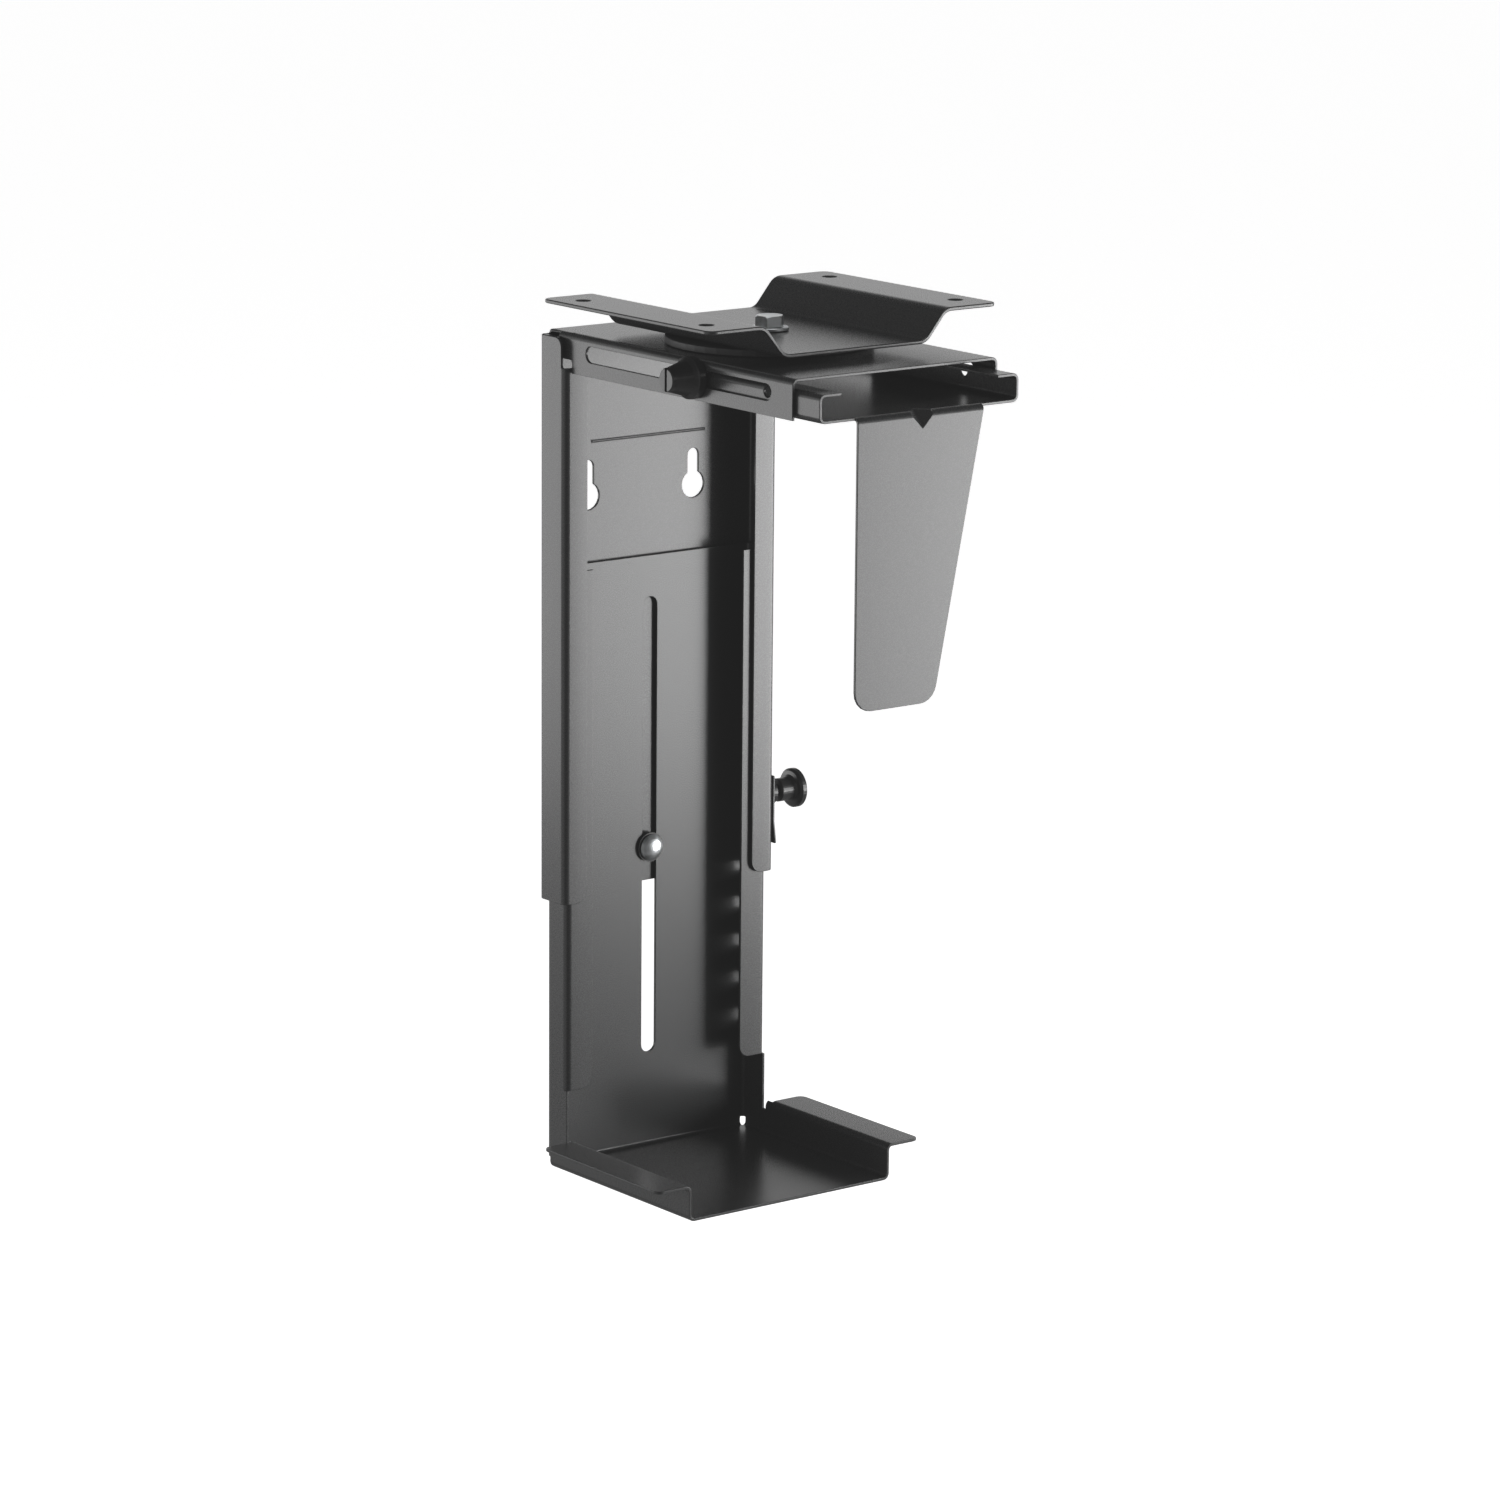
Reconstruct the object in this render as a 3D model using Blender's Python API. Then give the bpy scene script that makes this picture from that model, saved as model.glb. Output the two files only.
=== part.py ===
"""Adjustable under-desk holder for a desktop computer.

Frame: the origin is on the swivel axis, in the plane of the desk's underside. +Z is up, +X runs
along the computer's depth, and -Y runs from the back plate towards the tongue, across the
computer's width. Lengths are in metres.
"""

from math import atan2, cos, pi, radians, sin, tan

import bmesh
import bpy
from mathutils import Matrix, Vector

GAP = 0.0003

SHEET = 0.0015
BEND_RADIUS = 0.0026
BEND_STEPS = 4
ROUND_STEPS = 32
PAST = 0.01
ACROSS = 0.1
EDGE = 0.0006
FINE_EDGE = 0.0003
THREAD_EDGE = 0.0008
FLAT_ANGLE = 0.5
SHARP_ANGLE = 35
WELD_DISTANCE = 0.000002
HEX_CHAMFER = 0.06

BRACKET_SHEET = 0.002
BRACKET_LENGTH = 0.137
BRACKET_WIDTH = 0.1775
BRACKET_DEPTH = 0.0168
BRACKET_BASE_WIDTH = 0.0866
BRACKET_SHOULDER_WIDTH = 0.1115
BRACKET_CORNER = 0.005
BRACKET_BEND = 0.008
DESK_HOLE = 0.0075
DESK_HOLE_X = 0.0766
DESK_HOLE_Y = 0.050

SWIVEL_BOLT = 0.008
SWIVEL_HEX = 0.013
SWIVEL_HEAD = 0.0053
SWIVEL_TURN = -17
SWIVEL_WASHER = 0.019
SWIVEL_WASHER_THICK = 0.0016
SWIVEL_NUT_HEIGHT = 0.0065
DISC_DIAMETER = 0.103
DISC_THICK = 0.0034

BOX_TOP = -0.0209
BOX_WIDTH = 0.1258
BOX_HEIGHT = 0.020
BOX_FRONT = -0.0996
BOX_REAR = 0.0900
BOX_NOTCH_FRONT = 0.0786
BOX_NOTCH_TOP = -0.0343
BOX_NOTCH_CORNER = 0.0015
BOX_SLOT_REAR = 0.0670
BOX_SLOT_FRONT = -0.0832
BOX_SLOT_WIDTH = 0.0081
BOX_SLOT_Z = -0.0297

SLEEVE_WIDTH = 0.1336
SLEEVE_REAR = 0.1012
SLEEVE_FRONT = 0.0790
SLEEVE_LIP = 0.0141
SLEEVE_BOTTOM = -0.3124
SLEEVE_LIP_TOP = -0.0384
SLEEVE_SHOULDER_DROP = 0.0025
SLEEVE_SHOULDER_CORNER = 0.005
LIP_CORNER = 0.006
KEYHOLE_X = (-0.0374, 0.0286)
KEYHOLE_Z = -0.1084
KEYHOLE_RADIUS = 0.0070
KEYHOLE_NECK = 0.0068
KEYHOLE_RISE = 0.0186
BEAD_Z = -0.0804
BEAD_LENGTH = 0.072
BEAD_HEIGHT = 0.0022
BEAD_PROUD = 0.0005

CHANNEL_WIDTH = 0.1275
CHANNEL_REAR = 0.0988
CHANNEL_FRONT = 0.0812
CHANNEL_LIP = 0.0164
CHANNEL_TOP = -0.1419
CHANNEL_LIP_BOTTOM = -0.4109
CHANNEL_SIDE_BOTTOM = -0.4485
TRAY_BOTTOM = -0.4542
TRAY_FRONT = -0.0236
TRAY_FLANGE_REAR = 0.0782
TRAY_LIP_REAR = 0.0742
TRAY_HEIGHT = 0.0188
TRAY_LIP_SPAN = 0.1667
TRAY_LIP_CORNER = 0.004
SLIT_REAR = 0.0810
SLIT_BOTTOM = -0.4405
HEIGHT_SLOT_TOP = -0.1634
HEIGHT_SLOT_BOTTOM = -0.4034
HEIGHT_SLOT_WIDTH = 0.0087

INDEX_PITCH = 0.020
INDEX_HOLE = 0.0066
INDEX_HOLES_ABOVE = 6
INDEX_HOLES_BELOW = 6
PIN_Z = -0.2733
PIN_Y = 0.0900
PIN_DIAMETER = 0.006
PIN_TIP_CLEAR = 0.0005

ARM_FRONT = -0.1179
ARM_REAR = -0.0058
ARM_WIDTH = 0.1220
ARM_BOTTOM = -0.0404
ARM_TOP = -0.0262
ARM_LIP = 0.0131
ARM_SPARE_HOLE_Y = -0.0777
ARM_SPARE_HOLE = 0.0060
TONGUE_FACE = -0.1201
TONGUE_LEFT = -0.0393
TONGUE_TOP_RIGHT = 0.0380
TONGUE_BOTTOM_RIGHT = 0.0092
TONGUE_BOTTOM = -0.1816
TONGUE_CORNER = 0.010
TONGUE_OVERLAP = 0.020
TONGUE_BLANK_TOP = -0.0104
DART_WIDTH = 0.018
DART_REACH = 0.0092
DART_INSET = 0.0011

CLAMP_Y = -0.0229
CLAMP_STUD = 0.006
CLAMP_BASE = 0.0208
CLAMP_BASE_THICK = 0.0048
CLAMP_BARREL = 0.0172
CLAMP_CAP = 0.0118
CLAMP_LENGTH = 0.0172
CLAMP_SHOULDER = 0.0015
CLAMP_CAP_TAPER = 0.0025
CLAMP_SLOT_WIDTH = 0.0018
CLAMP_SLOT_DEPTH = 0.0022
CLAMP_BORE = 0.012
CLAMP_NUT_HEX = 0.010
CLAMP_NUT_HEIGHT = 0.005
CLAMP_RELIEF = 0.014

GUIDE_Z = -0.2943
GUIDE_BOLT = 0.008
GUIDE_HEAD = 0.0138
GUIDE_RIM = 0.0003
GUIDE_RIM_ROUND = 0.0008
GUIDE_DOME_ANGLE = 45
GUIDE_WASHER = 0.0155
GUIDE_WASHER_THICK = 0.0012
GUIDE_NUT_HEIGHT = 0.0065

PLATE_TOP = -0.2628
PLATE_BOTTOM = -0.2989
PLATE_DEPTH = 0.0190
PLATE_LIFT = 0.0014
PLATE_BEND_RISE = 0.012
PLATE_BEND_RADIUS = 0.010
PLUNGER_BODY = 0.0134
PLUNGER_BODY_OUT = 0.0733
PULL_NECK = 0.0122
PULL_NECK_OUT = 0.0765
PULL_HEAD = 0.0205
PULL_HEAD_IN = 0.0856
PULL_HEAD_OUT = 0.0904
RIVET_DIAMETER = 0.0065
RIVET_HEIGHT = 0.0015
PLATE_RIVET_Z = -0.2849
RIVET_EDGE = 0.0005
PLUNGER_EDGE = 0.0005
PIN_EDGE = 0.0004
PIN_IN_KNOB = 0.007
PULL_FILLET = 0.0015
PULL_HEAD_ROUND = 0.0012
PULL_CROWN = 0.0035


def clear_scene():
    for obj in list(bpy.data.objects):
        bpy.data.objects.remove(obj, do_unlink=True)


def material(name, colour, roughness, metallic):
    made = bpy.data.materials.new(name)
    made.use_nodes = True
    shader = made.node_tree.nodes["Principled BSDF"]
    shader.inputs["Base Color"].default_value = (*colour, 1.0)
    shader.inputs["Roughness"].default_value = roughness
    shader.inputs["Metallic"].default_value = metallic
    made.diffuse_color = (*colour, 1.0)
    return made


def black_coat(name):
    return material(name, (0.022, 0.023, 0.024), 0.38, 0.0)


def zinc(name):
    return material(name, (0.72, 0.75, 0.78), 0.28, 1.0)


def black_plastic(name):
    return material(name, (0.02, 0.02, 0.021), 0.42, 0.0)


def new_object(name, shape, look=None):
    """An object made from a bmesh, with its faces pointing out and its sharp edges kept."""
    bmesh.ops.recalc_face_normals(shape, faces=shape.faces)
    mesh = bpy.data.meshes.new(name)
    shape.to_mesh(mesh)
    shape.free()
    mesh.shade_smooth()
    mesh.set_sharp_from_angle(angle=radians(SHARP_ANGLE))
    obj = bpy.data.objects.new(name, mesh)
    bpy.context.scene.collection.objects.link(obj)
    if look:
        mesh.materials.append(look)
    return obj


def along(axis, u, v, w):
    """The point at u, v across the axis and w along it, to a micrometre, so level faces meet."""
    u, v, w = round(u, 6), round(v, 6), round(w, 6)
    return {"X": Vector((w, u, v)), "Y": Vector((u, w, v)), "Z": Vector((u, v, w))}[axis]


def prism(outline, axis, start, end, name="tool"):
    """A flat outline, extruded along an axis from start to end."""
    shape = bmesh.new()
    ends = []
    for w in (start, end):
        loop = [shape.verts.new(along(axis, u, v, w)) for u, v in outline]
        ends.append(loop)
        shape.faces.new(loop)
    count = len(outline)
    for i in range(count):
        j = (i + 1) % count
        shape.faces.new((ends[0][i], ends[0][j], ends[1][j], ends[1][i]))
    return new_object(name, shape)


def rectangle(u0, v0, u1, v1):
    return [(u0, v0), (u1, v0), (u1, v1), (u0, v1)]


def rounded(corners, radii, steps=5):
    """A closed outline through the corners, each one rounded to its own radius."""
    outline = []
    count = len(corners)
    for i, radius in enumerate(radii):
        here = Vector(corners[i])
        back = (Vector(corners[i - 1]) - here).normalized()
        ahead = (Vector(corners[(i + 1) % count]) - here).normalized()
        if radius == 0:
            outline.append(tuple(here))
            continue
        half = back.angle(ahead) / 2
        middle = here + (back + ahead).normalized() * radius / sin(half)
        first = here + back * radius / tan(half) - middle
        last = here + ahead * radius / tan(half) - middle
        turn = first.angle_signed(last)
        for k in range(steps + 1):
            swing = -turn * k / steps
            outline.append(tuple(middle + Matrix.Rotation(swing, 2) @ first))
    return outline


def circle(u, v, diameter, steps=ROUND_STEPS):
    angles = [2 * pi * (k + 0.5) / steps for k in range(steps)]
    return [(u + diameter / 2 * cos(a), v + diameter / 2 * sin(a)) for a in angles]


def slot(u0, v0, u1, v1, width, steps=8):
    """An outline with round ends, from one end's centre to the other's."""
    lean = atan2(v1 - v0, u1 - u0)
    outline = []
    for (u, v), start in (((u1, v1), lean - pi / 2), ((u0, v0), lean + pi / 2)):
        for k in range(steps + 1):
            a = start + pi * k / steps
            outline.append((u + width / 2 * cos(a), v + width / 2 * sin(a)))
    return outline


def bent_sheet(path, thickness, radius=BEND_RADIUS, steps=BEND_STEPS):
    """The outline of a sheet of one thickness, bent along a path through its middle."""
    points = [Vector(p) for p in path]
    line = [(points[0], (points[1] - points[0]).normalized())]
    for before, here, after in zip(points, points[1:], points[2:]):
        come = (here - before).normalized()
        leave = (after - here).normalized()
        turn = come.angle_signed(leave)
        reach = radius * tan(abs(turn) / 2)
        start = here - come * reach
        side = Vector((-come.y, come.x)) * (-1 if turn > 0 else 1)
        middle = start + side * radius
        for k in range(steps + 1):
            swing = Matrix.Rotation(-turn * k / steps, 2)
            line.append((middle + swing @ (start - middle), swing @ come))
    line.append((points[-1], (points[-1] - points[-2]).normalized()))
    left = [p + Vector((-d.y, d.x)) * thickness / 2 for p, d in line]
    right = [p - Vector((-d.y, d.x)) * thickness / 2 for p, d in line]
    return [tuple(p) for p in left + right[::-1]]


def lathe(name, profile, axis, centre, look, steps=ROUND_STEPS):
    """A solid turned round an axis. The profile is (distance along the axis, radius) pairs."""
    shape = bmesh.new()
    loops = []
    for w, radius in profile:
        loop = []
        for k in range(steps):
            a = 2 * pi * k / steps
            u, v = centre[0] + radius * cos(a), centre[1] + radius * sin(a)
            loop.append(shape.verts.new(along(axis, u, v, w)))
        loops.append(loop)
    for low, high in zip(loops, loops[1:]):
        for k in range(steps):
            j = (k + 1) % steps
            shape.faces.new((low[k], low[j], high[j], high[k]))
    shape.faces.new(loops[0])
    shape.faces.new(loops[-1])
    return new_object(name, shape, look)


def combine(base, others, operation):
    """Joins the others to the base, or cuts them from it, and removes them."""
    for other in others:
        step = base.modifiers.new("combine", "BOOLEAN")
        step.operation = operation
        step.solver = "EXACT"
        step.object = other
        graph = bpy.context.evaluated_depsgraph_get()
        made = bpy.data.meshes.new_from_object(base.evaluated_get(graph))
        base.modifiers.clear()
        base.data = made
        bpy.data.objects.remove(other, do_unlink=True)
    return base


def finish(obj, name, look):
    """Welds what a Boolean left doubled, dissolves flat leftovers, and sets name and material."""
    shape = bmesh.new()
    shape.from_mesh(obj.data)
    bmesh.ops.remove_doubles(shape, verts=shape.verts, dist=WELD_DISTANCE)
    bmesh.ops.dissolve_limit(
        shape, angle_limit=radians(FLAT_ANGLE), verts=shape.verts, edges=shape.edges
    )
    bmesh.ops.triangulate(shape, faces=shape.faces)
    shape.to_mesh(obj.data)
    shape.free()
    obj.name = name
    obj.data.name = name
    obj.data.shade_smooth()
    obj.data.set_sharp_from_angle(angle=radians(SHARP_ANGLE))
    obj.data.materials.clear()
    obj.data.materials.append(look)
    return obj


def set_origin(obj, place):
    """Moves an object's origin to a place and leaves its shape where it is."""
    obj.data.transform(Matrix.Translation(-Vector(place)))
    obj.location = place
    return obj


def hex_prism(axis, centre, start, end, across_flats, turn=0):
    """A hexagon, turned by an angle in degrees, with its corners turned off on the end side."""
    reach = across_flats / 2 / cos(pi / 6)
    angles = [radians(turn) + pi / 3 * k for k in range(6)]
    outline = [(centre[0] + reach * cos(a), centre[1] + reach * sin(a)) for a in angles]
    solid = prism(outline, axis, start, end)
    grow = 1 if end > start else -1
    cone = [
        (start - grow * SHEET, across_flats),
        (end - grow * HEX_CHAMFER * across_flats, reach),
        (end, across_flats / 2),
        (end + grow * SHEET, across_flats / 2),
    ]
    return combine(solid, [lathe("tool", cone, axis, centre, None, 48)], "INTERSECT")


def hex_nut(name, axis, centre, start, end, across_flats, bore, look):
    """A hexagonal nut with a plain bore."""
    nut = hex_prism(axis, centre, start, end, across_flats)
    combine(nut, [prism(circle(*centre, bore), axis, start - PAST, end + PAST)], "DIFFERENCE")
    return finish(nut, name, look)


def desk_bracket():
    top = -BRACKET_SHEET / 2
    base = -BRACKET_DEPTH + BRACKET_SHEET / 2
    half = [
        (BRACKET_WIDTH / 2, top),
        (BRACKET_SHOULDER_WIDTH / 2, top),
        (BRACKET_BASE_WIDTH / 2, base),
    ]
    path = half + [(-x, z) for x, z in reversed(half)]
    outline = bent_sheet(path, BRACKET_SHEET, BRACKET_BEND, 6)
    bracket = prism(outline, "Y", -BRACKET_LENGTH / 2, BRACKET_LENGTH / 2)
    x, y = BRACKET_WIDTH / 2, BRACKET_LENGTH / 2
    blank = rounded([(-x, -y), (x, -y), (x, y), (-x, y)], [BRACKET_CORNER] * 4)
    combine(bracket, [prism(blank, "Z", -ACROSS, ACROSS)], "INTERSECT")
    cutters = [prism(circle(0, 0, SWIVEL_BOLT + 2 * GAP), "Z", -ACROSS, ACROSS)]
    for sx in (-1, 1):
        for sy in (-1, 1):
            hole = circle(sx * DESK_HOLE_X, sy * DESK_HOLE_Y, DESK_HOLE, 24)
            cutters.append(prism(hole, "Z", -PAST, PAST))
    combine(bracket, cutters, "DIFFERENCE")
    return finish(bracket, "desk_bracket", black_coat("bracket_coat"))


def swivel():
    """The hex bolt, its washers, the glide disc and the nut, from top to bottom."""
    base_top = -BRACKET_DEPTH + BRACKET_SHEET
    washer_low = base_top + GAP
    washer_top = washer_low + SWIVEL_WASHER_THICK
    bore = SWIVEL_BOLT / 2 + GAP
    ring("swivel_washer", washer_low, washer_top, SWIVEL_WASHER / 2, bore, zinc("washer_zinc"))

    disc_top = -BRACKET_DEPTH - GAP
    disc_low = BOX_TOP + GAP
    ring("swivel_disc", disc_low, disc_top, DISC_DIAMETER / 2, bore, black_plastic("disc_plastic"))

    under = BOX_TOP - SHEET
    lower_top = under - GAP
    lower_low = lower_top - SWIVEL_WASHER_THICK
    ring("swivel_lower_washer", lower_low, lower_top, SWIVEL_WASHER / 2, bore, zinc("lower_washer_zinc"))

    nut_top = lower_low - GAP
    nut_low = nut_top - SWIVEL_NUT_HEIGHT
    hex_nut("swivel_nut", "Z", (0, 0), nut_top, nut_low, SWIVEL_HEX, SWIVEL_BOLT + 2 * GAP, zinc("nut_zinc"))

    head_low = washer_top + GAP
    head_top = head_low + SWIVEL_HEAD
    head = hex_prism("Z", (0, 0), head_low, head_top, SWIVEL_HEX, SWIVEL_TURN)
    shank_end = nut_low - THREAD_EDGE
    shank = [
        (shank_end, SWIVEL_BOLT / 2 - THREAD_EDGE),
        (shank_end + THREAD_EDGE, SWIVEL_BOLT / 2),
        (head_low + SWIVEL_HEAD / 2, SWIVEL_BOLT / 2),
    ]
    combine(head, [lathe("tool", shank, "Z", (0, 0), None, 24)], "UNION")
    return finish(head, "swivel_bolt", zinc("bolt_zinc"))


def ring(name, low, high, outer, inner, look):
    """A flat ring on the swivel axis, its top and bottom edges broken."""
    rim = outer - FINE_EDGE
    profile = [(low, rim), (low + FINE_EDGE, outer), (high - FINE_EDGE, outer), (high, rim)]
    body = lathe("tool", profile, "Z", (0, 0), None, 48)
    combine(body, [prism(circle(0, 0, 2 * inner, 24), "Z", low - PAST, high + PAST)], "DIFFERENCE")
    return finish(body, name, look)


def c_channel(width, rear, front, lip, sheet, low, high):
    """A channel open towards -Y with its lips turned in, extruded upwards."""
    x = (width - sheet) / 2
    back = rear - sheet / 2
    face = front + sheet / 2
    edge = width / 2 - lip
    path = [(-edge, face), (-x, face), (-x, back), (x, back), (x, face), (edge, face)]
    return prism(bent_sheet(path, sheet), "Z", low, high)


def lip_corner_cutter(side, width, lip, front, bottom):
    """What rounds off the free lower corner of a channel's lip."""
    inner = side * (width / 2 - lip)
    outline = [(inner - side * SHEET, bottom - SHEET), (inner + side * LIP_CORNER, bottom - SHEET)]
    steps = 6
    for k in range(steps):
        a = pi / 2 * k / steps
        u = inner + side * LIP_CORNER * (1 - sin(a))
        outline.append((u, bottom + LIP_CORNER * (1 - cos(a))))
    outline += [(inner, bottom + LIP_CORNER), (inner - side * SHEET, bottom + LIP_CORNER)]
    return prism(outline, "Y", front - SHEET, front + 2 * SHEET)


def upper_frame():
    half = (BOX_WIDTH - SHEET) / 2
    top = BOX_TOP - SHEET / 2
    low = BOX_TOP - BOX_HEIGHT
    path = [(-half, low), (-half, top), (half, top), (half, low)]
    body = prism(bent_sheet(path, SHEET), "Y", BOX_FRONT, BOX_REAR)
    notch = rounded(
        [
            (BOX_NOTCH_FRONT, low - SHEET),
            (BOX_NOTCH_FRONT, BOX_NOTCH_TOP),
            (BOX_REAR + SHEET, BOX_NOTCH_TOP),
            (BOX_REAR + SHEET, low - SHEET),
        ],
        [0, BOX_NOTCH_CORNER, 0, 0],
    )
    combine(body, [prism(notch, "X", -ACROSS, ACROSS)], "DIFFERENCE")

    shoulder = BOX_TOP - SLEEVE_SHOULDER_DROP
    sleeve = c_channel(
        SLEEVE_WIDTH, SLEEVE_REAR, SLEEVE_FRONT, SLEEVE_LIP, SHEET, SLEEVE_BOTTOM, shoulder
    )
    lip_rear = SLEEVE_FRONT + BEND_RADIUS + SHEET / 2
    blank = [
        (SLEEVE_FRONT - PAST, SLEEVE_LIP_TOP),
        (lip_rear, SLEEVE_LIP_TOP),
        (lip_rear, shoulder),
        (SLEEVE_REAR + PAST, shoulder),
        (SLEEVE_REAR + PAST, SLEEVE_BOTTOM - PAST),
        (SLEEVE_FRONT - PAST, SLEEVE_BOTTOM - PAST),
    ]
    cheek = rounded(blank, [0, 0, SLEEVE_SHOULDER_CORNER, 0, 0, 0])
    combine(sleeve, [prism(cheek, "X", -ACROSS, ACROSS)], "INTERSECT")

    back = SLEEVE_REAR - SHEET / 2
    elbow = [(BOX_REAR - PAST, top), (back, top), (back, SLEEVE_LIP_TOP - PAST)]
    web_half = half - BEND_RADIUS / 2
    web = prism(bent_sheet(elbow, SHEET), "X", -web_half, web_half)
    face = SLEEVE_REAR - SHEET
    combine(body, [web, sleeve, bead(face)], "UNION")

    line = slot(
        BOX_SLOT_REAR - BOX_SLOT_WIDTH / 2,
        BOX_SLOT_Z,
        BOX_SLOT_FRONT + BOX_SLOT_WIDTH / 2,
        BOX_SLOT_Z,
        BOX_SLOT_WIDTH,
    )
    bolt_hole = circle(0, GUIDE_Z, GUIDE_BOLT + 2 * GAP, 24)
    pin_hole = circle(PIN_Y, PIN_Z, PIN_DIAMETER + 2 * GAP, 24)
    swivel_hole = circle(0, 0, SWIVEL_BOLT + 2 * GAP, 24)
    cutters = [
        prism(line, "X", -ACROSS, ACROSS),
        prism(bolt_hole, "Y", face - PAST, SLEEVE_REAR + PAST),
        prism(pin_hole, "X", SLEEVE_WIDTH / 2 - PAST, SLEEVE_WIDTH / 2 + PAST),
        prism(swivel_hole, "Z", BOX_TOP - PAST, BOX_TOP + PAST),
    ]
    for x in KEYHOLE_X:
        cutters.append(prism(keyhole(x), "Y", face - PAST, SLEEVE_REAR + PAST))
    for end in (-1, 1):
        cutters.append(
            lip_corner_cutter(end, SLEEVE_WIDTH, SLEEVE_LIP, SLEEVE_FRONT, SLEEVE_BOTTOM)
        )
    combine(body, cutters, "DIFFERENCE")
    return finish(body, "upper_frame", black_coat("upper_coat"))


def bead(face):
    """The pressed ridge across the back plate, hipped at its ends, rooted inside the sheet."""
    reach, half = BEAD_LENGTH / 2, BEAD_HEIGHT / 2
    ridge = reach - half
    foot = rectangle(-reach, BEAD_Z - half, reach, BEAD_Z + half)
    shape = bmesh.new()
    root = [shape.verts.new((x, face + SHEET / 2, z)) for x, z in foot]
    base = [shape.verts.new((x, face, z)) for x, z in foot]
    left, right = (shape.verts.new((x, face - BEAD_PROUD, BEAD_Z)) for x in (-ridge, ridge))
    shape.faces.new(root)
    for k in range(4):
        shape.faces.new((root[k], root[k - 1], base[k - 1], base[k]))
    shape.faces.new((base[0], base[1], right, left))
    shape.faces.new((base[2], base[3], left, right))
    shape.faces.new((base[1], base[2], right))
    shape.faces.new((base[3], base[0], left))
    return new_object("tool", shape)


def keyhole(x, head_steps=16, neck_steps=8):
    """A round hole with a narrow neck above it."""
    half = KEYHOLE_NECK / 2
    meet = (KEYHOLE_RADIUS**2 - half**2) ** 0.5
    start = atan2(meet, half)
    outline = []
    for k in range(head_steps + 1):
        a = start - (pi + 2 * start) * k / head_steps
        outline.append((x + KEYHOLE_RADIUS * cos(a), KEYHOLE_Z + KEYHOLE_RADIUS * sin(a)))
    for k in range(neck_steps + 1):
        a = pi - pi * k / neck_steps
        outline.append((x + half * cos(a), KEYHOLE_Z + KEYHOLE_RISE - half + half * sin(a)))
    return outline


def lower_frame():
    body = c_channel(
        CHANNEL_WIDTH, CHANNEL_REAR, CHANNEL_FRONT, CHANNEL_LIP, SHEET, CHANNEL_SIDE_BOTTOM, CHANNEL_TOP
    )
    lip_rear = CHANNEL_FRONT + BEND_RADIUS + SHEET / 2
    lip_gap = rectangle(-ACROSS, CHANNEL_FRONT - PAST, ACROSS, lip_rear)
    lip_end = prism(lip_gap, "Z", CHANNEL_SIDE_BOTTOM - PAST, CHANNEL_LIP_BOTTOM)
    combine(body, [lip_end], "DIFFERENCE")
    side = (CHANNEL_WIDTH - SHEET) / 2
    cheek = rectangle(SLIT_REAR, CHANNEL_SIDE_BOTTOM, lip_rear + SHEET, CHANNEL_LIP_BOTTOM)
    edges = (-side - SHEET / 2, side - SHEET / 2)
    combine(body, [prism(cheek, "X", x, x + SHEET) for x in edges], "UNION")

    floor = TRAY_BOTTOM + SHEET / 2
    rim = TRAY_BOTTOM + TRAY_HEIGHT - SHEET / 2
    tip = TRAY_LIP_SPAN / 2
    path = [(-tip, rim), (-side, rim), (-side, floor), (side, floor), (side, rim), (tip, rim)]
    tray = prism(bent_sheet(path, SHEET), "Y", TRAY_FRONT, TRAY_FLANGE_REAR)
    blank = [(-tip, TRAY_FRONT), (tip, TRAY_FRONT), (tip, TRAY_LIP_REAR), (-tip, TRAY_LIP_REAR)]
    lips = prism(rounded(blank, [TRAY_LIP_CORNER] * 4), "Z", rim - PAST, rim + PAST)
    flange = side + SHEET / 2 + FINE_EDGE
    keep = prism(rectangle(-flange, TRAY_FRONT, flange, ACROSS), "Z", TRAY_BOTTOM - PAST, rim + PAST)
    combine(keep, [lips], "UNION")
    combine(tray, [keep], "INTERSECT")

    back = CHANNEL_REAR - SHEET / 2
    flange_rear = CHANNEL_REAR - BEND_RADIUS - SHEET / 2
    low_path = [(-side, SLIT_BOTTOM), (-side, floor), (side, floor), (side, SLIT_BOTTOM)]
    heel = prism(bent_sheet(low_path, SHEET), "Y", TRAY_LIP_REAR, flange_rear)
    neck = CHANNEL_WIDTH / 2 - BEND_RADIUS - SHEET / 2
    elbow = [(back, SLIT_BOTTOM), (back, floor), (TRAY_LIP_REAR, floor)]
    web = prism(bent_sheet(elbow, SHEET), "X", -neck, neck)
    combine(tray, [heel, web], "UNION")
    combine(body, [tray], "UNION")

    half = HEIGHT_SLOT_WIDTH / 2
    line = slot(0, HEIGHT_SLOT_TOP - half, 0, HEIGHT_SLOT_BOTTOM + half, HEIGHT_SLOT_WIDTH)
    cutters = [prism(line, "Y", CHANNEL_REAR - PAST, CHANNEL_REAR + PAST)]
    for number in range(-INDEX_HOLES_BELOW, INDEX_HOLES_ABOVE + 1):
        hole = circle(PIN_Y, PIN_Z + number * INDEX_PITCH, INDEX_HOLE, 16)
        cutters.append(prism(hole, "X", side - SHEET, side + SHEET))
    for end in (-1, 1):
        cutters.append(
            lip_corner_cutter(end, CHANNEL_WIDTH, CHANNEL_LIP, CHANNEL_FRONT, CHANNEL_LIP_BOTTOM)
        )
    combine(body, cutters, "DIFFERENCE")
    return finish(body, "lower_frame", black_coat("lower_coat"))


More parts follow.
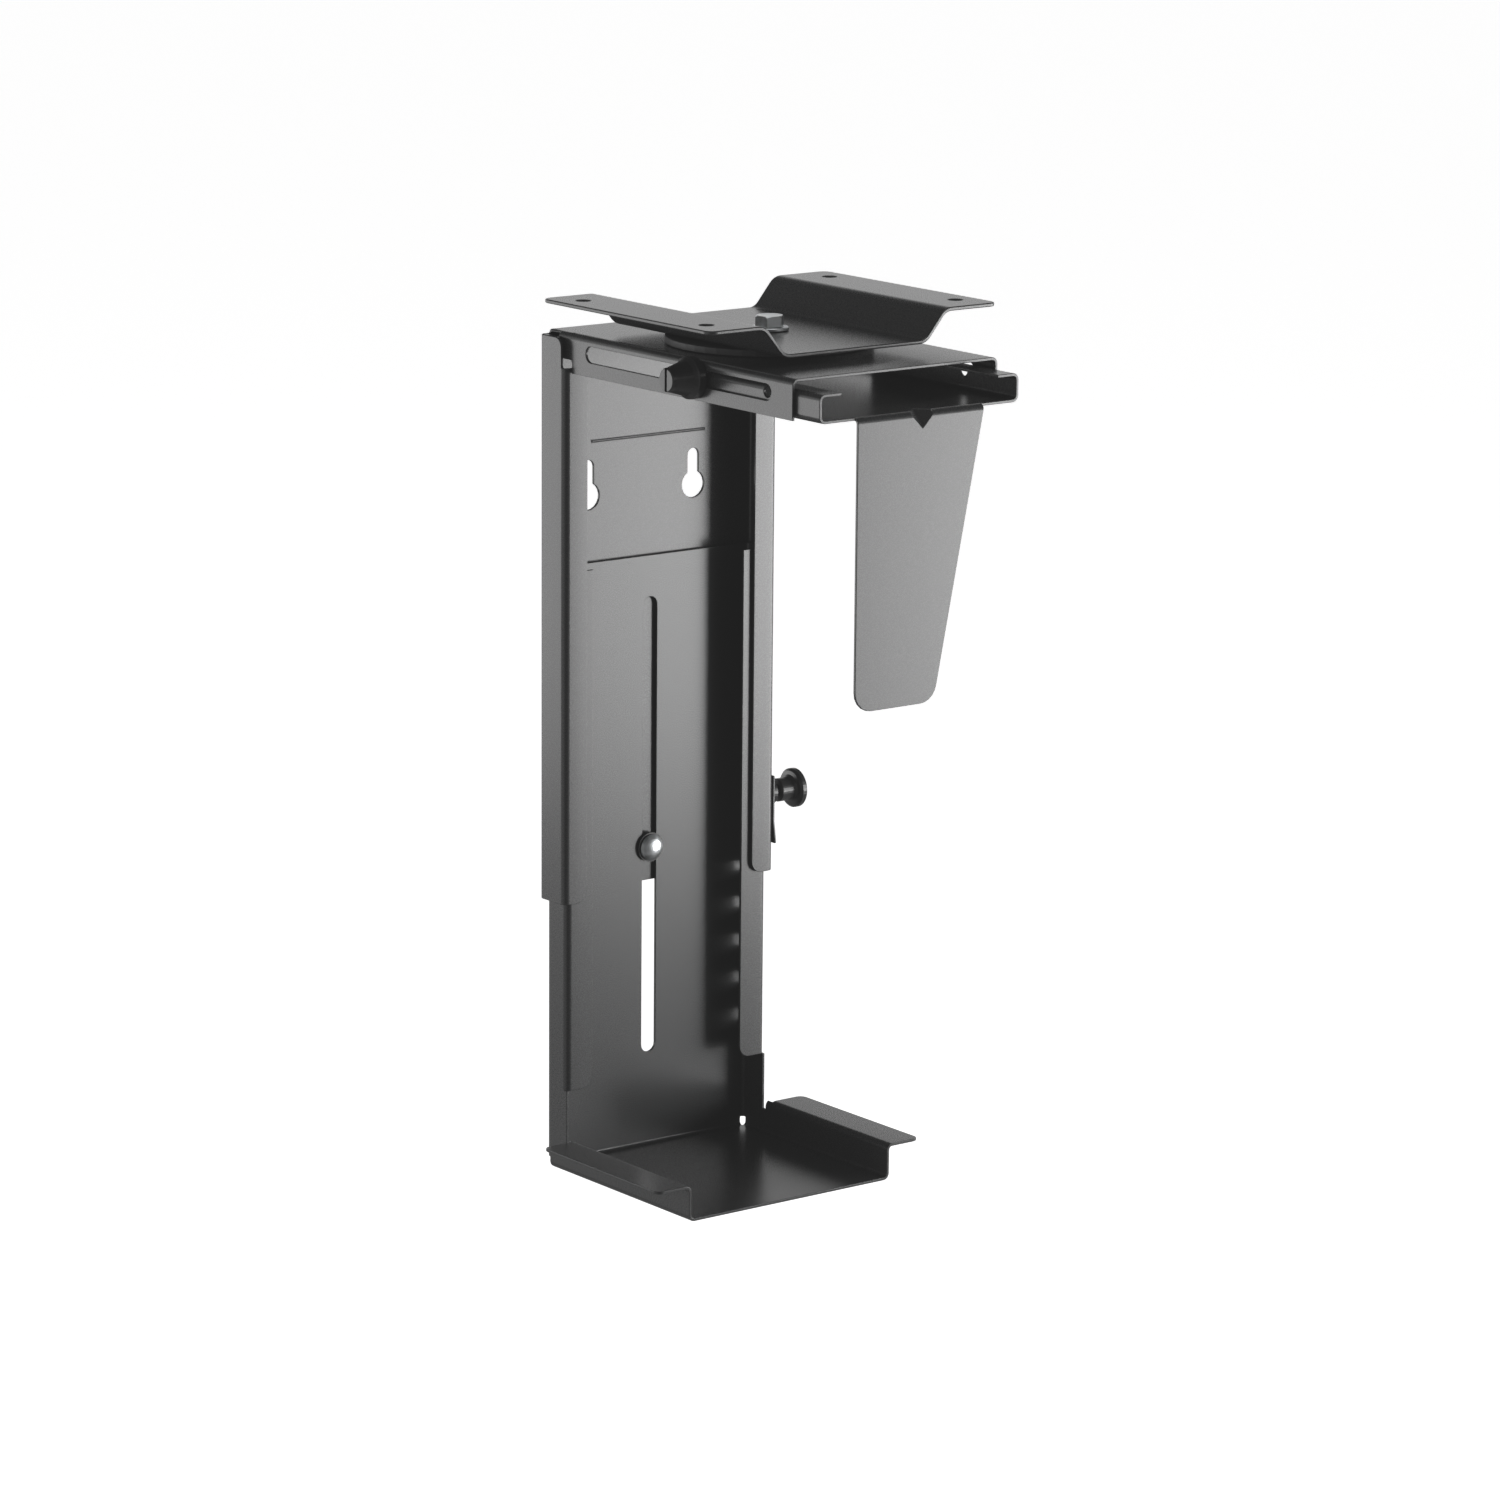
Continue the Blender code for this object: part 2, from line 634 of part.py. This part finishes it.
def side_arm():
    half = (ARM_WIDTH - SHEET) / 2
    floor = ARM_BOTTOM + SHEET / 2
    rim = ARM_TOP - SHEET / 2
    edge = ARM_WIDTH / 2 - ARM_LIP
    path = [(-edge, rim), (-half, rim), (-half, floor), (half, floor), (half, rim), (edge, rim)]
    body = prism(bent_sheet(path, SHEET), "Y", ARM_FRONT, ARM_REAR)

    face = TONGUE_FACE + SHEET / 2
    elbow = [(ARM_FRONT + TONGUE_OVERLAP, floor), (face, floor), (face, TONGUE_BOTTOM)]
    tongue = prism(bent_sheet(elbow, SHEET), "X", TONGUE_LEFT, TONGUE_TOP_RIGHT)
    blank = rounded(
        [
            (TONGUE_LEFT, TONGUE_BLANK_TOP),
            (TONGUE_LEFT, TONGUE_BOTTOM),
            (TONGUE_BOTTOM_RIGHT, TONGUE_BOTTOM),
            (TONGUE_TOP_RIGHT, ARM_BOTTOM),
            (TONGUE_TOP_RIGHT, TONGUE_BLANK_TOP),
        ],
        [0, TONGUE_CORNER, TONGUE_CORNER, 0, 0],
    )
    combine(tongue, [prism(blank, "Y", TONGUE_FACE - PAST, ARM_FRONT + 2 * TONGUE_OVERLAP)], "INTERSECT")
    combine(body, [tongue], "UNION")

    combine(body, [dart(DART_INSET, DART_REACH)], "UNION")
    combine(body, [dart(-GAP, DART_REACH)], "DIFFERENCE")
    spare = circle(ARM_SPARE_HOLE_Y, BOX_SLOT_Z, ARM_SPARE_HOLE, 20)
    stud = circle(CLAMP_Y, BOX_SLOT_Z, CLAMP_STUD + 2 * GAP, 20)
    relief = rectangle(
        -half + SHEET / 2,
        CLAMP_Y - CLAMP_RELIEF / 2,
        -edge + SHEET,
        CLAMP_Y + CLAMP_RELIEF / 2,
    )
    cutters = [
        prism(spare, "X", -ACROSS, ACROSS),
        prism(stud, "X", -ACROSS, -half + 2 * SHEET),
        prism(relief, "Z", rim - 2 * SHEET, rim + SHEET),
    ]
    combine(body, cutters, "DIFFERENCE")
    return finish(body, "side_arm", black_coat("arm_coat"))


def dart(inset, reach):
    """A wedge across the tongue's bend, for the pressed stiffener, set in from its outer corner."""
    wide = DART_WIDTH / 2
    face = TONGUE_FACE + inset
    above = ARM_BOTTOM + SHEET - inset
    shape = bmesh.new()
    places = [(-wide, face, above), (wide, face, above), (0, face, above - reach), (0, face + reach, above)]
    verts = [shape.verts.new(place) for place in places]
    for a, b, c in ((0, 1, 2), (0, 1, 3), (1, 2, 3), (2, 0, 3)):
        shape.faces.new((verts[a], verts[b], verts[c]))
    return new_object("tool", shape)


def clamp():
    """The thumb knob on the left side, its stud and the weld nut inside the arm."""
    centre = (CLAMP_Y, BOX_SLOT_Z)
    wall = -BOX_WIDTH / 2
    near = wall - GAP
    base = near - CLAMP_BASE_THICK
    far = near - CLAMP_LENGTH
    profile = [
        (near, CLAMP_BASE / 2 - EDGE),
        (near - EDGE, CLAMP_BASE / 2),
        (base + EDGE, CLAMP_BASE / 2),
        (base, CLAMP_BASE / 2 - EDGE),
        (base - CLAMP_SHOULDER, CLAMP_BARREL / 2),
        (far + CLAMP_CAP_TAPER, CLAMP_CAP / 2 + FINE_EDGE),
        (far + EDGE, CLAMP_CAP / 2),
        (far, CLAMP_CAP / 2 - EDGE),
    ]
    knob = lathe("tool", profile, "X", centre, None, 40)
    y, z = centre
    half = CLAMP_SLOT_WIDTH / 2
    driver = rectangle(y - half, z - CLAMP_CAP, y + half, z + CLAMP_CAP)
    bore = circle(y, z, CLAMP_STUD + 2 * GAP, 20)
    tools = [
        prism(driver, "X", far - SHEET, far + CLAMP_SLOT_DEPTH),
        prism(bore, "X", near - CLAMP_BORE, near + SHEET),
    ]
    combine(knob, tools, "DIFFERENCE")
    finish(knob, "clamp_knob", black_plastic("clamp_plastic"))
    set_origin(knob, (near, *centre))

    inside = -ARM_WIDTH / 2 + SHEET
    nut_far = inside + GAP + CLAMP_NUT_HEIGHT
    stud_start = near - CLAMP_BORE + GAP
    profile = [
        (stud_start, CLAMP_STUD / 2),
        (nut_far, CLAMP_STUD / 2),
        (nut_far + THREAD_EDGE, CLAMP_STUD / 2 - THREAD_EDGE),
    ]
    stud = lathe("clamp_stud", profile, "X", centre, zinc("stud_zinc"), 20)
    set_origin(stud, (near, *centre))

    nut = "clamp_nut", "X", centre, inside + GAP, nut_far
    hex_nut(*nut, CLAMP_NUT_HEX, CLAMP_STUD + 2 * GAP, zinc("clamp_nut_zinc"))


def guide():
    """The dome-head bolt through the height slot, its washer and its nut."""
    centre = (0, GUIDE_Z)
    washer_in = CHANNEL_REAR - SHEET - GAP
    washer_out = washer_in - GUIDE_WASHER_THICK
    outline = circle(*centre, GUIDE_WASHER, 32)
    washer = prism(outline, "Y", washer_out, washer_in)
    hole = circle(*centre, GUIDE_BOLT + 2 * GAP, 24)
    combine(washer, [prism(hole, "Y", washer_out - PAST, washer_in + PAST)], "DIFFERENCE")
    finish(washer, "guide_washer", black_plastic("guide_washer_black"))

    nut_near = SLEEVE_REAR + GAP
    nut_far = nut_near + GUIDE_NUT_HEIGHT
    head = washer_out - GAP
    shank = [
        (nut_far + 2 * THREAD_EDGE, GUIDE_BOLT / 2 - THREAD_EDGE),
        (nut_far + THREAD_EDGE, GUIDE_BOLT / 2),
        (head, GUIDE_BOLT / 2),
    ]
    lathe("guide_bolt", shank + button_head(head), "Y", centre, zinc("guide_zinc"), 28)
    nut = "guide_nut", "Y", centre, nut_near, nut_far
    hex_nut(*nut, SWIVEL_HEX, GUIDE_BOLT + 2 * GAP, zinc("guide_nut_zinc"))


def button_head(seat, rim_steps=3, dome_steps=5):
    """The profile of a low dome with a rounded rim, which stands on its seat and grows towards -Y."""
    radius = GUIDE_HEAD / 2
    lean = radians(GUIDE_DOME_ANGLE)
    profile = [(seat, radius - GUIDE_RIM), (seat - GUIDE_RIM, radius)]
    rim_inner = radius - GUIDE_RIM_ROUND
    for k in range(1, rim_steps + 1):
        a = (pi / 2 - lean) * k / rim_steps
        profile.append((seat - GUIDE_RIM - GUIDE_RIM_ROUND * sin(a), rim_inner + GUIDE_RIM_ROUND * cos(a)))
    dome_foot, dome_reach = profile[-1]
    dome_radius = dome_reach / sin(lean)
    for k in range(1, dome_steps + 1):
        a = lean * (1 - k / (dome_steps + 1))
        profile.append((dome_foot - dome_radius * (cos(a) - cos(lean)), dome_radius * sin(a)))
    return profile


def plunger():
    """The plate on the sleeve's right side, its rivet, the plunger body, the pin and its knob."""
    wall = SLEEVE_WIDTH / 2
    inner = wall + GAP
    outer = inner + SHEET
    bend = PLATE_BOTTOM + PLATE_BEND_RISE
    lifted = inner + SHEET / 2
    path = [(lifted, PLATE_TOP), (lifted, bend), (lifted + PLATE_LIFT, PLATE_BOTTOM)]
    outline = bent_sheet(path, SHEET, PLATE_BEND_RADIUS)
    plate = prism(outline, "Y", PIN_Y - PLATE_DEPTH / 2, PIN_Y + PLATE_DEPTH / 2)
    centre = (PIN_Y, PIN_Z)
    rivet_centre = (PIN_Y, PLATE_RIVET_Z)
    hole = prism(circle(*centre, PIN_DIAMETER + 2 * GAP, 24), "X", wall - PAST, wall + PAST)
    combine(plate, [hole], "DIFFERENCE")
    finish(plate, "plunger_plate", black_coat("plate_coat"))

    near = outer + GAP
    rim = RIVET_DIAMETER / 2
    profile = [(near, rim), (near + RIVET_EDGE, rim), (near + RIVET_HEIGHT, rim / 2)]
    lathe("plunger_rivet", profile, "X", rivet_centre, black_coat("rivet_coat"), 16)

    radius = PLUNGER_BODY / 2
    profile = [
        (near, radius),
        (PLUNGER_BODY_OUT - PLUNGER_EDGE, radius),
        (PLUNGER_BODY_OUT, radius - PLUNGER_EDGE),
    ]
    body = lathe("tool", profile, "X", centre, None, 32)
    bore = circle(*centre, PIN_DIAMETER + 2 * GAP, 24)
    combine(body, [prism(bore, "X", near - PAST, PLUNGER_BODY_OUT + PAST)], "DIFFERENCE")
    finish(body, "plunger_body", black_plastic("plunger_black"))

    tip = CHANNEL_WIDTH / 2 + PIN_TIP_CLEAR
    pin_end = PULL_NECK_OUT + PIN_IN_KNOB
    profile = [
        (tip, PIN_DIAMETER / 2 - PIN_EDGE),
        (tip + PIN_EDGE, PIN_DIAMETER / 2),
        (pin_end, PIN_DIAMETER / 2),
    ]
    pin = lathe("index_pin", profile, "X", centre, zinc("pin_steel"), 20)
    set_origin(pin, (tip, *centre))

    neck = PULL_NECK / 2
    head = PULL_HEAD / 2
    profile = [
        (PULL_NECK_OUT, neck - PLUNGER_EDGE),
        (PULL_NECK_OUT + PLUNGER_EDGE, neck),
        (PULL_HEAD_IN - PULL_FILLET, neck),
        (PULL_HEAD_IN - PULL_FILLET / 4, neck + PULL_FILLET * 3 / 4),
        (PULL_HEAD_IN, head - PULL_HEAD_ROUND),
        (PULL_HEAD_IN + PULL_HEAD_ROUND, head),
        (PULL_HEAD_OUT - PULL_HEAD_ROUND, head),
        (PULL_HEAD_OUT - PULL_HEAD_ROUND / 3, head - PULL_HEAD_ROUND),
        (PULL_HEAD_OUT, head - PULL_CROWN),
    ]
    knob = lathe("tool", profile, "X", centre, None, 40)
    bore = circle(*centre, PIN_DIAMETER + 2 * GAP, 24)
    combine(knob, [prism(bore, "X", PULL_NECK_OUT - PAST, pin_end + GAP)], "DIFFERENCE")
    finish(knob, "pin_knob", black_plastic("pull_plastic"))
    set_origin(knob, (PULL_NECK_OUT, *centre))


def main():
    clear_scene()
    desk_bracket()
    swivel()
    upper_frame()
    lower_frame()
    side_arm()
    clamp()
    guide()
    plunger()


main()
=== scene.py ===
"""Looks for an adjustable under-desk computer holder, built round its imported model.

Lengths are in metres. The frame is the model's own: the origin is on the swivel axis under the
desk, +Z is up, +X runs along the computer's depth, and -Y runs from the back plate to the tongue.
"""

from math import cos, pi, radians, sin, tan

import bmesh
import bpy
from mathutils import Matrix, Vector


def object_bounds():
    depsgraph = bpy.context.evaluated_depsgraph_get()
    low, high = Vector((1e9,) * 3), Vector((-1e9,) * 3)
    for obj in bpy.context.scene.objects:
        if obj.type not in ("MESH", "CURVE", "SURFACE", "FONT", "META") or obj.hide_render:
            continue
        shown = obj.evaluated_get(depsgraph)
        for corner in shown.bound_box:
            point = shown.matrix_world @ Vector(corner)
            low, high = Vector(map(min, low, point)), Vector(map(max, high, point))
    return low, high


CAMERA_PLACE = Vector((-1.7440, -2.2570, 0.4040))
CAMERA_AZIMUTH = radians(37.536)
CAMERA_DOWN = radians(12.455)
CAMERA_ROLL = radians(0.479)
CAMERA_FOV = radians(14.592)
SENSOR_WIDTH = 36.0

COAT = (0.031, 0.0315, 0.032)
ZINC = (0.70, 0.725, 0.75)
STEEL = (0.56, 0.57, 0.58)
PLASTIC = (0.02, 0.02, 0.0205)
NYLON = (0.012, 0.012, 0.0125)

COAT_PEEL, COAT_PEEL_DEPTH = 800.0, 0.000006
COAT_GRAIN, COAT_GRAIN_DEPTH = 2600.0, 0.000003
ZINC_CLOUD = 320.0
ZINC_GRAIN, ZINC_GRAIN_DEPTH = 5200.0, 0.000006
MOULD_DRIFT = 110.0
MOULD_GRAIN, MOULD_GRAIN_DEPTH = 3400.0, 0.000012

SHEET_EDGE = 0.0006
TIGHT_EDGE = 0.0003
EDGE_SEGMENTS = 3
SHARP_ANGLE = radians(30.0)
FLAT_ANGLE = radians(0.8)
WELD_DISTANCE = 0.000002

FLOOR_REACH = 30.0
FLOOR_DROP = 0.125
FLOOR_GLOW = 0.85
RIGHT_LIGHT = {"place": (1.20, -0.84, -0.33), "aim": (0.0, 0.06, -0.33), "width": 1.1, "height": 0.66}
LEFT_LIGHT = {"place": (-0.95, 1.25, -0.29), "aim": (0.0, 0.06, -0.29), "width": 1.1, "height": 0.60}
TOP_LIGHT = {"place": (0.1, -0.2, 2.4), "aim": (0.0, 0.0, 0.0), "width": 1.6, "height": 1.6}

BLACK_LEVEL = 0.013
DARK_SIDE = radians(-115)
DARK_INNER = radians(25)
DARK_OUTER = radians(48)
DARK_LEVEL = 0.10
HORIZON = ((-0.45, 0.25), (-0.08, 0.85), (0.0, 0.92), (0.26, 0.92), (0.50, 0.04))

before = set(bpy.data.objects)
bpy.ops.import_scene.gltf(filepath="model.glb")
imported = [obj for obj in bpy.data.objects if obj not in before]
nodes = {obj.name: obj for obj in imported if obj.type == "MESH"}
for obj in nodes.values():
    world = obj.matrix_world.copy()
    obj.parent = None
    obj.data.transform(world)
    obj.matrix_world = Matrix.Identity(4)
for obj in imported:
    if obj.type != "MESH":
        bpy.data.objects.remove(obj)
cad_low, cad_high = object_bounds()


# Materials ---------------------------------------------------------------------------------


def new_material(name, colour, roughness, metallic=0.0):
    made = bpy.data.materials.new(name)
    made.use_nodes = True
    shader = made.node_tree.nodes["Principled BSDF"]
    shader.inputs["Base Color"].default_value = (*colour, 1.0)
    shader.inputs["Roughness"].default_value = roughness
    shader.inputs["Metallic"].default_value = metallic
    made.diffuse_color = (*colour, 1.0)
    return made, made.node_tree, shader


def place_node(tree, kind, **inputs):
    node = tree.nodes.new(kind)
    for name, value in inputs.items():
        node.inputs[name.replace("_", " ")].default_value = value
    return node


def noise(tree, where, scale, detail=2.0, rough=0.5):
    """Noise with features about 1/scale metres wide."""
    node = place_node(tree, "ShaderNodeTexNoise", Scale=scale, Detail=detail, Roughness=rough)
    tree.links.new(where, node.inputs["Vector"])
    return node.outputs["Fac"]


def spread(tree, value, low, high, from_low=0.3, from_high=0.7):
    """A value whose stretch between the two from-limits runs from low to high."""
    node = tree.nodes.new("ShaderNodeMapRange")
    tree.links.new(value, node.inputs["Value"])
    for name, number in (
        ("From Min", from_low),
        ("From Max", from_high),
        ("To Min", low),
        ("To Max", high),
    ):
        node.inputs[name].default_value = number
    return node.outputs["Result"]


def mottle(tree, shader, value, dark, light):
    """A base colour that drifts between two shades."""
    mix = tree.nodes.new("ShaderNodeMix")
    mix.data_type = "RGBA"
    mix.inputs["A"].default_value = (*dark, 1.0)
    mix.inputs["B"].default_value = (*light, 1.0)
    tree.links.new(value, mix.inputs["Factor"])
    tree.links.new(mix.outputs["Result"], shader.inputs["Base Color"])


def bump(tree, shader, layers):
    """Bump layers of (height value, depth in metres), one on another."""
    normal = None
    for value, depth in layers:
        node = place_node(tree, "ShaderNodeBump", Strength=1.0, Distance=depth)
        tree.links.new(value, node.inputs["Height"])
        if normal:
            tree.links.new(normal, node.inputs["Normal"])
        normal = node.outputs["Normal"]
    tree.links.new(normal, shader.inputs["Normal"])


def scaled(colour, factor):
    return tuple(channel * factor for channel in colour)


def powder_coat(name, colour=COAT, roughness=0.27):
    """Satin black powder coat: faint orange peel, and a fine grain in its colour and its gloss."""
    made, tree, shader = new_material(name, colour, roughness)
    where = tree.nodes.new("ShaderNodeTexCoord").outputs["Object"]
    peel = noise(tree, where, COAT_PEEL)
    grain = noise(tree, where, COAT_GRAIN)
    mottle(tree, shader, spread(tree, grain, 0.0, 1.0), scaled(colour, 0.85), scaled(colour, 1.15))
    tree.links.new(spread(tree, grain, roughness - 0.03, roughness + 0.03), shader.inputs["Roughness"])
    bump(tree, shader, [(peel, COAT_PEEL_DEPTH), (grain, COAT_GRAIN_DEPTH)])
    return made


def zinc_plate(name, colour=ZINC, roughness=0.34):
    """Bright bare metal: faint cloudiness in colour and gloss, and a fine tooling grain."""
    made, tree, shader = new_material(name, colour, roughness, 1.0)
    where = tree.nodes.new("ShaderNodeTexCoord").outputs["Object"]
    cloud = noise(tree, where, ZINC_CLOUD, 3.0, 0.6)
    grain = noise(tree, where, ZINC_GRAIN)
    warm = (colour[0] * 0.93, colour[1] * 0.92, colour[2] * 0.88)
    mottle(tree, shader, spread(tree, cloud, 0.0, 1.0), warm, scaled(colour, 1.04))
    tree.links.new(spread(tree, cloud, roughness - 0.06, roughness + 0.10), shader.inputs["Roughness"])
    bump(tree, shader, [(grain, ZINC_GRAIN_DEPTH)])
    return made


def moulded(name, colour=PLASTIC, roughness=0.3):
    """Moulded black plastic with a fine spark-eroded texture."""
    made, tree, shader = new_material(name, colour, roughness)
    where = tree.nodes.new("ShaderNodeTexCoord").outputs["Object"]
    grain = noise(tree, where, MOULD_GRAIN, 3.0, 0.6)
    drift = noise(tree, where, MOULD_DRIFT)
    mottle(tree, shader, spread(tree, drift, 0.0, 1.0), scaled(colour, 0.85), scaled(colour, 1.2))
    tree.links.new(spread(tree, grain, roughness - 0.04, roughness + 0.06), shader.inputs["Roughness"])
    bump(tree, shader, [(grain, MOULD_GRAIN_DEPTH)])
    return made


def dress(names, look):
    for name in names:
        mesh = nodes[name].data
        mesh.materials.clear()
        mesh.materials.append(look)


coat = powder_coat("satin_black_coat")
zinc = zinc_plate("bright_zinc")
steel = zinc_plate("ground_steel", STEEL, 0.22)
plastic = moulded("moulded_black")
nylon = moulded("black_nylon", NYLON, 0.5)

dress(("desk_bracket", "upper_frame", "lower_frame", "side_arm", "plunger_plate", "plunger_rivet"), coat)
dress(("swivel_bolt", "swivel_washer", "swivel_lower_washer", "swivel_nut"), zinc)
dress(("guide_bolt", "guide_nut", "clamp_nut", "clamp_stud"), zinc)
dress(("index_pin",), steel)
dress(("clamp_knob", "pin_knob", "plunger_body"), plastic)
dress(("swivel_disc", "guide_washer"), nylon)


# Edges --------------------------------------------------------------------------------------


def soften(name, width):
    """Rounds a node's sharp edges, as the coating does on cut sheet, with modifiers only."""
    obj = nodes[name]
    obj.data.shade_smooth()
    weld = obj.modifiers.new("weld", "WELD")
    weld.merge_threshold = WELD_DISTANCE
    flat = obj.modifiers.new("flat", "DECIMATE")
    flat.decimate_type = "DISSOLVE"
    flat.angle_limit = FLAT_ANGLE
    edge = obj.modifiers.new("edge", "BEVEL")
    edge.width = width
    edge.segments = EDGE_SEGMENTS
    edge.limit_method = "ANGLE"
    edge.angle_limit = SHARP_ANGLE
    edge.miter_outer = "MITER_ARC"
    edge.use_clamp_overlap = False
    obj.modifiers.new("shade", "WEIGHTED_NORMAL")


for sheet_part in ("desk_bracket", "plunger_plate"):
    soften(sheet_part, SHEET_EDGE)
for sliding_part in ("upper_frame", "lower_frame", "side_arm"):
    soften(sliding_part, TIGHT_EDGE)


# Studio ------------------------------------------------------------------------------------


def pale_floor():
    """A pale floor, clear of the tray at the foot of its travel, that only the camera sees."""
    ground = bmesh.new()
    level = cad_low.z - FLOOR_DROP
    corners = ((-1, -1), (1, -1), (1, 1), (-1, 1))
    ground.faces.new([ground.verts.new((x * FLOOR_REACH, y * FLOOR_REACH, level)) for x, y in corners])
    mesh = bpy.data.meshes.new("floor")
    ground.to_mesh(mesh)
    ground.free()
    floor = bpy.data.objects.new("floor", mesh)
    bpy.context.scene.collection.objects.link(floor)
    look, _, shader = new_material("floor_white", (0.8, 0.8, 0.8), 0.9)
    shader.inputs["Emission Color"].default_value = (1.0, 1.0, 1.0, 1.0)
    shader.inputs["Emission Strength"].default_value = FLOOR_GLOW
    mesh.materials.append(look)
    floor.visible_glossy = floor.visible_diffuse = floor.visible_shadow = False


def softbox(name, place, aim, width, height, radiance):
    """A rectangular light of the given radiance, which faces the aim and doesn't show itself."""
    data = bpy.data.lights.new(name, "AREA")
    data.shape = "RECTANGLE"
    data.size = width
    data.size_y = height
    data.energy = radiance * width * height * pi
    light = bpy.data.objects.new(name, data)
    bpy.context.scene.collection.objects.link(light)
    light.location = place
    light.rotation_mode = "QUATERNION"
    light.rotation_quaternion = (Vector(aim) - Vector(place)).to_track_quat("-Z", "Y")
    light.visible_camera = False


def white_room():
    """A band of white light round the horizon, under a dark ceiling and with one dark side.

    The camera sees plain white instead.
    """
    world = bpy.data.worlds.new("white_room")
    bpy.context.scene.world = world
    world.use_nodes = True
    tree = world.node_tree
    background = tree.nodes["Background"]
    split = tree.nodes.new("ShaderNodeSeparateXYZ")
    where = tree.nodes.new("ShaderNodeTexCoord").outputs["Generated"]
    tree.links.new(where, split.inputs["Vector"])
    ramp = tree.nodes.new("ShaderNodeValToRGB")
    ramp.color_ramp.interpolation = "EASE"
    stops = ramp.color_ramp.elements
    while len(stops) < len(HORIZON):
        stops.new(0.5)
    for stop, (height, strength) in zip(stops, HORIZON):
        stop.position = (height + 1) / 2
        stop.color = (strength, strength, strength, 1.0)
    lift = tree.nodes.new("ShaderNodeMath")
    lift.operation = "MULTIPLY_ADD"
    lift.inputs[1].default_value = lift.inputs[2].default_value = 0.5
    tree.links.new(split.outputs["Z"], lift.inputs[0])
    tree.links.new(lift.outputs[0], ramp.inputs["Fac"])
    toward = tree.nodes.new("ShaderNodeVectorMath")
    toward.operation = "DOT_PRODUCT"
    toward.inputs[1].default_value = (cos(DARK_SIDE), sin(DARK_SIDE), 0.0)
    tree.links.new(where, toward.inputs[0])
    shade = spread(tree, toward.outputs["Value"], 1.0, DARK_LEVEL, cos(DARK_OUTER), cos(DARK_INNER))
    band = tree.nodes.new("ShaderNodeMath")
    band.operation = "MULTIPLY"
    tree.links.new(ramp.outputs["Color"], band.inputs[0])
    tree.links.new(shade, band.inputs[1])
    seen = tree.nodes.new("ShaderNodeMath")
    seen.operation = "MAXIMUM"
    tree.links.new(band.outputs[0], seen.inputs[0])
    tree.links.new(tree.nodes.new("ShaderNodeLightPath").outputs["Is Camera Ray"], seen.inputs[1])
    tree.links.new(seen.outputs[0], background.inputs["Strength"])
    background.inputs["Color"].default_value = (1.0, 1.0, 1.0, 1.0)


def camera():
    """The camera, from its place, its bearing from +Y, its tilt down, its roll and its field of view."""
    data = bpy.data.cameras.new("camera")
    data.sensor_width = SENSOR_WIDTH
    data.lens = SENSOR_WIDTH / 2 / tan(CAMERA_FOV / 2)
    data.clip_start = 0.05
    data.clip_end = 100.0
    made = bpy.data.objects.new("camera", data)
    bpy.context.scene.collection.objects.link(made)
    right = Vector((cos(CAMERA_AZIMUTH), -sin(CAMERA_AZIMUTH), 0.0))
    level = Vector((sin(CAMERA_AZIMUTH), cos(CAMERA_AZIMUTH), 0.0))
    ahead = level * cos(CAMERA_DOWN) - Vector((0.0, 0.0, sin(CAMERA_DOWN)))
    up = right.cross(ahead)
    rolled_right = right * cos(CAMERA_ROLL) + up * sin(CAMERA_ROLL)
    rolled_up = up * cos(CAMERA_ROLL) - right * sin(CAMERA_ROLL)
    turn = Matrix((rolled_right, rolled_up, -ahead)).transposed()
    made.matrix_world = Matrix.Translation(CAMERA_PLACE) @ turn.to_4x4()
    bpy.context.scene.camera = made


def develop():
    """A plain tone curve, with blacks that are lifted as in a product photograph."""
    settings = bpy.context.scene.view_settings
    settings.view_transform = "Standard"
    settings.use_curve_mapping = True
    settings.curve_mapping.curves[3].points[0].location = (0.0, BLACK_LEVEL)
    settings.curve_mapping.update()


pale_floor()
softbox("softbox_right", radiance=10.0, **RIGHT_LIGHT)
softbox("softbox_left", radiance=2.4, **LEFT_LIGHT)
softbox("softbox_top", radiance=1.2, **TOP_LIGHT)
white_room()
camera()
develop()
